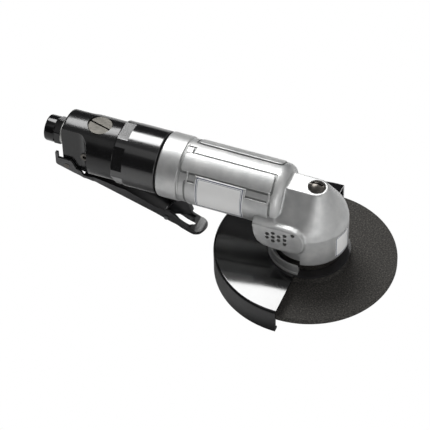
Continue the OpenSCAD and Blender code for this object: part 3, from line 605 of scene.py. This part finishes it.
valveX = -156.5  # the valve's axis along the body
valveSizes = {
    "outline": [(0.6, -182.2), (19.3, -182.2), (20.7, -181.6), (21.4, -180), (21.4, -140.9),
                (21, -140.25), (0.6, -140.25)],
    "steps": 144,
    "flat": 11.1,       # from the axis
    "flatFront": -169.2,
    "runOut": 10,       # radius
    "runOutOff": 21.1,  # its middle from the axis
    "bores": [("capSeat", (valveX, 0, 14), (valveX, 0, 26), 9.05, 64),
              ("valveBore", (valveX, 0, -4.5), (valveX, 0, 15), 7, 48),
              ("lowerBore", (valveX, 0, -14), (valveX, 0, -3), 4.6, 48),
              ("stemBore", (valveX, 0, -26), (valveX, 0, -13), 2.53, 32),
              ("inletSeat", (-190, 0, 5), (-171.2, 0, 5), 7.5, 48),
              ("inletWay", (-182, 0, 5), (valveX, 0, 5), 4.5, 32),
              ("pinBore", (-178.7, -20, -15.1), (-178.7, 20, -15.1), 2, 32),
              ("screwSeat", (-164.6, -30, -3), (-164.6, -9, -3), 3.25, 40),
              ("passage", (valveX, 0, -9.5), (-130, 0, -9.5), 3.6, 24)],
    "edge": 0.25,
}
valve = turned("valveBody", valveSizes["outline"], at(0, 0, 0), alongBody=True,
               steps=valveSizes["steps"])
front = valveSizes["flatFront"]
for side in (-1, 1):
    low, high = sorted((side * valveSizes["flat"], side * 40))
    off = side * valveSizes["runOutOff"]
    relief = block("relief", at(-190, low, -30), at(front, high, 30))
    joined(relief, ("runOut", (front, off, -30), (front, off, 30), valveSizes["runOut"], 96))
    combine(valve, relief)
combine(valve, block("underside", at(-190, -20, -26), at(-154.5, 20, -18.4)))
drilled(valve, *valveSizes["bores"])
rounded(valve, valveSizes["edge"], angle=40)
finished(valve, "housing", satin, "valve_housing", slot="satin_black")
print("valve housing ready")

# Air inlet: a threaded bush with a round end and a hexagon, and the pale washer under it

inletSizes = {
    "axis": 5,  # over the body's axis
    "outline": [(5.7, -197.5), (8.4, -197.5), (9.1, -197.1), (9.5, -196.2), (9.5, -190.1),
                (9, -189.4), (7.4, -189.4), (7.4, -171.8), (4.8, -171.8), (4.8, -185.5),
                (5.7, -185.5)],
    "across": 18,  # over the hexagon's flats
    "hexagonMiddle": -187.2,
    "hexagonLength": 4.4,
    "hexagonCorners": 10.1,  # radius that its corners are turned to
    "edge": 0.3,
    "washer": [(7.5, -185), (9, -185), (9.3, -184.6), (9.3, -182.6), (9, -182.2), (7.5, -182.2)],
    "steps": 96,
}
up, steps = inletSizes["axis"], inletSizes["steps"]
inlet = turned("inletBush", inletSizes["outline"], at(0, 0, up), alongBody=True, steps=steps)
nut = hexagon("hexagon", at(inletSizes["hexagonMiddle"], 0, up), inletSizes["across"],
              inletSizes["hexagonLength"], 30)
combine(nut, rod("within", at(-192, 0, up), at(-184, 0, up), inletSizes["hexagonCorners"], 72),
        "INTERSECT")
drilled(nut, ("bore", (-192, 0, up), (-184, 0, up), 6.5, 48))
combine(inlet, nut, "UNION")
rounded(inlet, inletSizes["edge"], angle=35)
finished(inlet, "housing", gloss, "inlet_bush", slot="gloss_black")
washer = turned("inletWasher", inletSizes["washer"], at(0, 0, up), alongBody=True, steps=steps)
finished(washer, "housing", paleWasher, "inlet_washer", slot="washer_pale")
print("inlet ready")

# Slotted cap over the valve

capSizes = {"foot": 14.5, "top": 20.2, "radius": 8.9, "edge": 0.7, "recess": 3.4,
            "recessTop": 16.5, "slotHalf": 0.65, "slotFloor": 18.8, "slotTurn": 15}
cap = rod("valveCap", at(valveX, 0, capSizes["foot"]), at(valveX, 0, capSizes["top"]),
          capSizes["radius"], 96)
rounded(cap, capSizes["edge"], angle=60)
drilled(cap, ("recess", (valveX, 0, 14), (valveX, 0, capSizes["recessTop"]),
              capSizes["recess"], 32))
half = capSizes["slotHalf"]
slit = block("slit", at(valveX - 12, -half, capSizes["slotFloor"]), at(valveX + 12, half, 22))
swing(slit, capSizes["slotTurn"], "Z", at(valveX, 0, 19))
combine(cap, slit)
rounded(cap, 0.12, angle=50)
finished(cap, "housing", capSteel, "valve_cap", slot="dark_steel")

# Slotted domed screw on the head

plugSizes = {
    "place": 5.2,  # in front of the spindle's axis
    "foot": [(0, 12), (3, 12), (3, 16), (5.9, 16), (6.2, 16.3), (6.2, 16.8)],
    "dome": 8.2,   # its radius, about a middle at the next height
    "domeMiddle": 11.4,
    "top": 19.6,
    "slotHalf": 0.7,
    "slotFloor": 17.9,
}
outline = list(plugSizes["foot"])
for a in (45, 52, 60, 68, 76, 83):
    turn = math.radians(a)
    outline.append((plugSizes["dome"] * math.cos(turn),
                    plugSizes["domeMiddle"] + plugSizes["dome"] * math.sin(turn)))
outline.append((0, plugSizes["top"]))
plug = turned("greasePlug", outline, at(plugSizes["place"], 0, 0), steps=64)
half = plugSizes["slotHalf"]
combine(plug, block("slit", at(-4, -half, plugSizes["slotFloor"]), at(14, half, 22)))
rounded(plug, 0.15, angle=50)
finished(plug, "housing", darkSteel, "grease_plug", slot="dark_steel")

# Small socket screw in the run-out of the near flat

screwSizes = {"along": -164.6, "up": -3, "head": -12.6, "foot": -9, "radius": 3.2, "edge": 0.4,
              "socket": 1.7, "socketFloor": -10.8}
x, z = screwSizes["along"], screwSizes["up"]
screw = rod("crossPlug", at(x, screwSizes["head"], z), at(x, screwSizes["foot"], z),
            screwSizes["radius"], 48)
rounded(screw, screwSizes["edge"], angle=60)
drilled(screw, ("socket", (x, -13, z), (x, screwSizes["socketFloor"], z), screwSizes["socket"], 6))
finished(screw, "housing", darkSteel, "cross_plug", slot="dark_steel")
print("small fittings ready")

# Labels: bare film with its printed border

labelSizes = {
    # the ends along the body, the edges in degrees, the radius, the film's thickness, the corner
    "plate": (-76.4, -41, -28, 38.5, 23.2, 0.2, 2.6),
    "plateLines": (35.4, 26.9, [(0.45, 1.05), (1.6, 1.85)]),  # length, width, lines from the edge
    # the same about the spindle, from the lower end to the upper one
    "sticker": (-33, -15, 61, 93, 27.92, 0.18, 1.5),
    "stickerLines": (18, 15.6, [(0.35, 0.85)]),
}
film = labelFilm("printed film", *labelSizes["plateLines"])
plate = wrapped("ratingLabel", *labelSizes["plate"])
finished(plate, "housing", film, "rating_plate", slot="label_white")
small = labelFilm("printed film, head", *labelSizes["stickerLines"])
sticker = wrapped("headLabel", *labelSizes["sticker"], onHead=True)
finished(sticker, "housing", small, "warning_label", slot="label_white")
print("labels ready")

# Guard: a pressed half plate with a rolled corner, a deep skirt and its inward lip

guardSizes = {
    # radius, and height over the body's axis
    "outline": [(24, -46.6), (24, -44.8), (65.3, -44.8), (66.07, -44.95), (66.71, -45.4),
                (67.15, -46.03), (67.3, -46.8), (67.3, -64), (63.3, -64), (63.3, -62.2),
                (65.5, -62.2), (65.5, -47.4), (64.8, -46.6)],
    "first": 88,
    "sweep": 182,
    "steps": 240,
    "ring": [(22.8, -46.6), (29.5, -46.6), (29.5, -44.8), (22.8, -44.8)],
    "screwRadius": 26.4,
    "screwTurns": (110, 180, 250),
    "screwHole": 1.5,
    "edge": 0.22,
    "skirt": 66,      # from this radius out the enamel is plain
    "satinRing": 29.6,
}
guard = turned("wheelGuard", guardSizes["outline"], at(0, 0, 0), first=guardSizes["first"],
               sweep=guardSizes["sweep"], steps=guardSizes["steps"])
combine(guard, turned("inside", guardSizes["ring"], at(0, 0, 0)), "UNION")
screwPlaces = [(guardSizes["screwRadius"] * math.cos(math.radians(a)),
                guardSizes["screwRadius"] * math.sin(math.radians(a)))
               for a in guardSizes["screwTurns"]]
drilled(guard, *(("hole", (x, y, -48), (x, y, -40), guardSizes["screwHole"], 24)
                 for x, y in screwPlaces))
rounded(guard, guardSizes["edge"], angle=50)
finished(guard, "guard", guardGloss, "wheel_guard", slot="gloss_black", smooth=40)
guard.data.materials.append(gloss)
guard.data.materials.append(pressed)
for face in guard.data.polygons:
    reach = math.hypot(face.center.x - spindleX * mm, face.center.y) / mm
    if reach > guardSizes["skirt"]:
        face.material_index = 1
    elif reach < guardSizes["satinRing"]:
        face.material_index = 2

# The cast wall that stands on the guard round the gear case

deflectorSizes = {
    "outline": [(24, -44.8), (29, -44.8), (29, -43.6), (28.4, -42.8), (28.4, -36.8),
                (28.1, -36.4), (27.5, -36.4), (27.2, -36.8), (27.2, -40.2), (26.6, -41.2),
                (25.2, -41.6), (24, -41.6)],
    "first": 90,
    "sweep": 184,
    "steps": 180,
    "edge": 0.25,
}
deflector = turned("sparkDeflector", deflectorSizes["outline"], at(0, 0, 0),
                   first=deflectorSizes["first"], sweep=deflectorSizes["sweep"],
                   steps=deflectorSizes["steps"])
drilled(deflector, *(("hole", (x, y, -46), (x, y, -41), guardSizes["screwHole"], 24)
                     for x, y in screwPlaces))
rounded(deflector, deflectorSizes["edge"], angle=50)
finished(deflector, "guard", silver, "guard_collar", slot="cast_silver")
print("guard ready")

# The wheel: a disc of bonded abrasive with a depressed centre

wheelSizes = {
    "outline": [(11.1, -53), (21, -53), (27, -57.5), (62, -57.5), (62.5, -57), (62.5, -53.6),
                (62.1, -53), (28.4, -53), (27.6, -52.8), (22.6, -48.9), (21.6, -48.5),
                (11.1, -48.5)],
    "steps": 200,
}
wheel = turned("grindingWheel", wheelSizes["outline"], at(0, 0, 0), steps=wheelSizes["steps"])
finished(wheel, "spindle", abrasive, "grinding_wheel", slot="abrasive")
print("wheel ready")

# Throttle lever: a pressed channel with a fork about its pin and a rounded paddle. Its lines run
# forwards and up from the pin

leverSizes = {
    "pin": (-178.7, -15.1),  # along the body, and over its axis
    "top": [(-8.5, 0.3), (-8.5, 10.6), (-8, 11.1), (-6.3, 11.1), (-6.3, 5.9), (3, 5.8), (4.6, 4.2),
            (7.2, -0.9), (10.4, -1.8), (12.2, -5), (19, -7), (38, -11.5), (43.2, -12.3),
            (54.6, -17.6), (65.8, -22.6), (75.2, -24.4), (78.2, -25.8), (80.5, -27.6),
            (83, -30.6), (85, -33.2), (88.5, -36), (93.6, -38.2), (98.5, -38.3), (101.5, -37.6),
            (101.5, -38.8), (98, -40.9), (93.6, -41.1)],
    "forkFoot": [(-7.5, -0.8), (5.2, -5.1), (9.4, -6.2), (14.8, -8.6)],
    "armFoot": [(18.2, -11), (64.9, -29.3), (75.8, -34.4), (81.5, -36.5), (84.7, -38.4),
                (88.5, -39.9)],
    # half its width, seen from above, at places along it
    "halfPlan": [(-9, 13.4), (14, 13.4), (20, 10.9), (80, 8), (93.2, 8)],
    "nose": (93.2, 8),   # middle and radius of the paddle's end
    "wall": 1.8,
    "roll": 0.9,         # radius of the arm's lower edges
    "pinHole": 2.03,
    "latch": (73.5, -30.4),
    "latchHole": 1.27,
    "slotHalf": 2.6,
    "slotFront": 16.4,   # in front of the latch's pin
    "edge": 0.35,
}
pinX, pinZ = leverSizes["pin"]
wall, half, front = leverSizes["wall"], leverSizes["slotHalf"], leverSizes["slotFront"]
latchX, latchZ = pinX + leverSizes["latch"][0], pinZ + leverSizes["latch"][1]


def fromPin(line):
    return [(pinX + d, pinZ + z) for d, z in line]


def leverPlan(name, inset):  # the lever's outline from above
    line = [(pinX + d, y - inset) for d, y in leverSizes["halfPlan"]]
    return prism(name, line + [(x, -y) for x, y in line[::-1]], -70, 10, "XY")


footLine = fromPin(leverSizes["forkFoot"] + leverSizes["armFoot"])


def nearFoot(co):
    x, z = co.x / mm - spindleX, co.z / mm - axisZ
    for (x0, z0), (x1, z1) in zip(footLine, footLine[1:]):
        if x0 - 0.1 <= x <= x1 + 0.1:
            return abs(z - z0 - (z1 - z0) * (x - x0) / (x1 - x0)) < 0.15
    return False


def lowerEdge(a, b):  # of the arm's side walls, in front of the fork
    return (nearFoot(a) and nearFoot(b) and abs(a.y + b.y) > 12 * mm and abs(a.x - b.x) > 0.5 * mm
            and min(a.x, b.x) > (pinX + 12 + spindleX) * mm)


lever = prism("throttleLever", fromPin(leverSizes["top"]) + footLine[::-1], -20, 20)
plan = leverPlan("plan", 0)
noseX, nose = leverSizes["nose"]
joined(plan, ("nose", (pinX + noseX, 0, -70), (pinX + noseX, 0, 10), nose, 96))
combine(lever, plan, "INTERSECT")
mend(lever, 0.01)
pickEdges(lever, lowerEdge)
bpy.ops.mesh.bevel(offset=leverSizes["roll"] * mm, segments=3, affect="EDGES")
objectMode()
inside = [(-20, 20), (-20, -60), (12.5, -60), (12.5, -5.3), (14.8, -6.8)]
inside += [(d, z + wall) for d, z in leverSizes["armFoot"]] + [(91, -37), (91, 20)]
hollow = prism("hollow", fromPin(inside), -20, 20)
combine(hollow, leverPlan("inner", wall), "INTERSECT")
combine(lever, hollow)
drilled(lever, ("pinHole", (pinX, -20, pinZ), (pinX, 20, pinZ), leverSizes["pinHole"], 32),
        ("latchHole", (latchX, -20, latchZ), (latchX, 20, latchZ), leverSizes["latchHole"], 32))
combine(lever, block("window", at(latchX - 3.4, -5.6, -75), at(latchX + 3.2, 5.6, latchZ)))
slit = block("slit", at(latchX - 3.6, -half, -75), at(latchX + front, half, -15))
joined(slit, ("end", (latchX + front, 0, -75), (latchX + front, 0, -15), half, 48))
combine(lever, slit)
rounded(lever, leverSizes["edge"], angle=40)
finished(lever, "lever", pressed, "throttle_lever", slot="satin_black")

# Safety latch: an upright tongue on its own pin in the lever's slot

latchSizes = {
    # forwards and up from its pin
    "outline": [(-2, 1), (-1.6, 2.4), (4.2, 10.4), (10.4, 19.8), (12.2, 21), (13.8, 19.6),
                (14.8, 12), (17.2, 4.8), (16, 3), (3.4, -1.6), (1.6, -2.2), (-1.6, -1.6)],
    "halfWidth": 2,
    "hub": 2.9,
    "hubHalf": 2.2,
    "hole": 1.28,
    "edge": 0.45,
}
half, hub = latchSizes["halfWidth"], latchSizes["hubHalf"]
latch = prism("safetyLatch", [(latchX + d, latchZ + z) for d, z in latchSizes["outline"]],
              -half, half)
joined(latch, ("hub", (latchX, -hub, latchZ), (latchX, hub, latchZ), latchSizes["hub"], 48))
drilled(latch, ("hole", (latchX, -5, latchZ), (latchX, 5, latchZ), latchSizes["hole"], 32))
rounded(latch, latchSizes["edge"], angle=30)
finished(latch, "latch", pressed, "safety_latch", slot="satin_black")
print("lever and latch ready")

# Floor and background: white to the camera, and plain to everything else

clear()
bpy.ops.mesh.primitive_plane_add(size=6)
floor = named("floor")
pale, tree, surface, where = material("pale studio floor", Roughness=0.9)
surface.inputs["Base Color"].default_value = colour("#ececec")
glow = node(tree, "Emission", {"Color": (1, 1, 1, 1), "Strength": 1.0})
seen = node(tree, "LightPath").outputs["Is Camera Ray"]
join(tree, tree.nodes["Material Output"],
     Surface=node(tree, "MixShader", {}, Fac=seen, _1=surface, _2=glow))
floor.data.materials.append(pale)

# what the object mirrors: a dark room, a little paler overhead and to the right
roomSizes = {"low": 0.05, "overhead": 0.18, "right": 0.4}
world = bpy.data.worlds.new("studio")
bpy.context.scene.world = world
world.use_nodes = True
tree = world.node_tree
direct = tree.nodes["Background"]
direct.inputs["Color"].default_value = (1, 1, 1, 1)
direct.inputs["Strength"].default_value = 1.0
way = node(tree, "SeparateXYZ", Vector=node(tree, "TexCoord").outputs["Generated"]).outputs
high = node(tree, "MapRange", {"From Min": 0.5, "From Max": 0.85, "To Min": roomSizes["low"],
                               "To Max": roomSizes["overhead"]}, Value=way["Z"])
aside = node(tree, "MapRange", {"From Min": 0.0, "From Max": 0.9, "To Min": 0.0,
                                "To Max": roomSizes["right"]}, Value=way["X"])
both = node(tree, "Math", {"operation": "ADD"}, _0=high, _1=aside)
room = node(tree, "Background", {"Strength": 1.0}, Color=both)
seen = node(tree, "LightPath").outputs["Is Camera Ray"]
join(tree, tree.nodes["World Output"],
     Surface=node(tree, "MixShader", {}, Fac=seen, _1=room, _2=direct))

# Lamps: softboxes at one distance round the object, turned to its middle

lampSizes = {
    "middle": (-0.02, 0, 0.05),
    "distance": 1.1,
    # name, azimuth from behind and elevation in degrees, width and depth in metres, brightness
    "boxes": [("main box", -40, 58.5, 0.62, 0.5, 10.5),
              ("front left box", -142, 54, 0.4, 0.4, 0.3),
              ("right box", 108, 26, 0.6, 0.42, 0.6),
              ("right rear box", 47, 50, 0.42, 0.42, 0.6),
              ("front right box", 146, 13, 0.5, 0.3, 3.6)],
}
for name, turn, rise, width, depth, level in lampSizes["boxes"]:
    turn, rise = math.radians(turn), math.radians(rise)
    flat = math.cos(rise)
    out = Vector((math.sin(turn) * flat, math.cos(turn) * flat, math.sin(rise)))
    clear()
    bpy.ops.object.light_add(type="AREA",
                             location=Vector(lampSizes["middle"]) + out * lampSizes["distance"])
    lamp = bpy.context.object
    lamp.name = name
    lamp.data.shape = "RECTANGLE"
    lamp.data.size = width
    lamp.data.size_y = depth
    lamp.data.energy = math.pi * width * depth * level
    lamp.rotation_euler = out.to_track_quat("Z", "Y").to_euler()

# Camera, fitted to the outlines of the wheel, the guard, the barrel and the lever

cameraSizes = {
    "azimuth": 23.1232,
    "elevation": 45.6423,
    "roll": -1.6991,
    "target": (-2.9905, -1.38, 26.5046),  # mm
    "distance": 1.67344,                  # m
    "focal": 2360.95,                     # pixels
    "halfPicture": 215,                   # pixels
}
azimuth, elevation = (math.radians(cameraSizes[key]) for key in ("azimuth", "elevation"))
roll = math.radians(cameraSizes["roll"])
back = Vector((math.sin(azimuth) * math.cos(elevation), -math.cos(azimuth) * math.cos(elevation),
               math.sin(elevation)))
right = (-back).cross(Vector((0, 0, 1))).normalized()
above = right.cross(-back)
side = right * math.cos(roll) + above * math.sin(roll)
upright = above * math.cos(roll) - right * math.sin(roll)
place = Vector(cameraSizes["target"]) * mm + back * cameraSizes["distance"]
lens = bpy.data.cameras.new("camera")
lens.sensor_fit = "HORIZONTAL"
lens.angle = 2 * math.atan(cameraSizes["halfPicture"] / cameraSizes["focal"])
lens.clip_start, lens.clip_end = 0.05, 20
eye = bpy.data.objects.new("camera", lens)
bpy.context.scene.collection.objects.link(eye)
turn = Matrix((side, upright, back)).transposed().to_4x4()
eye.matrix_world = Matrix.Translation(place) @ turn
bpy.context.scene.camera = eye

bpy.context.scene.view_settings.view_transform = "Standard"
print("camera and lamps ready")
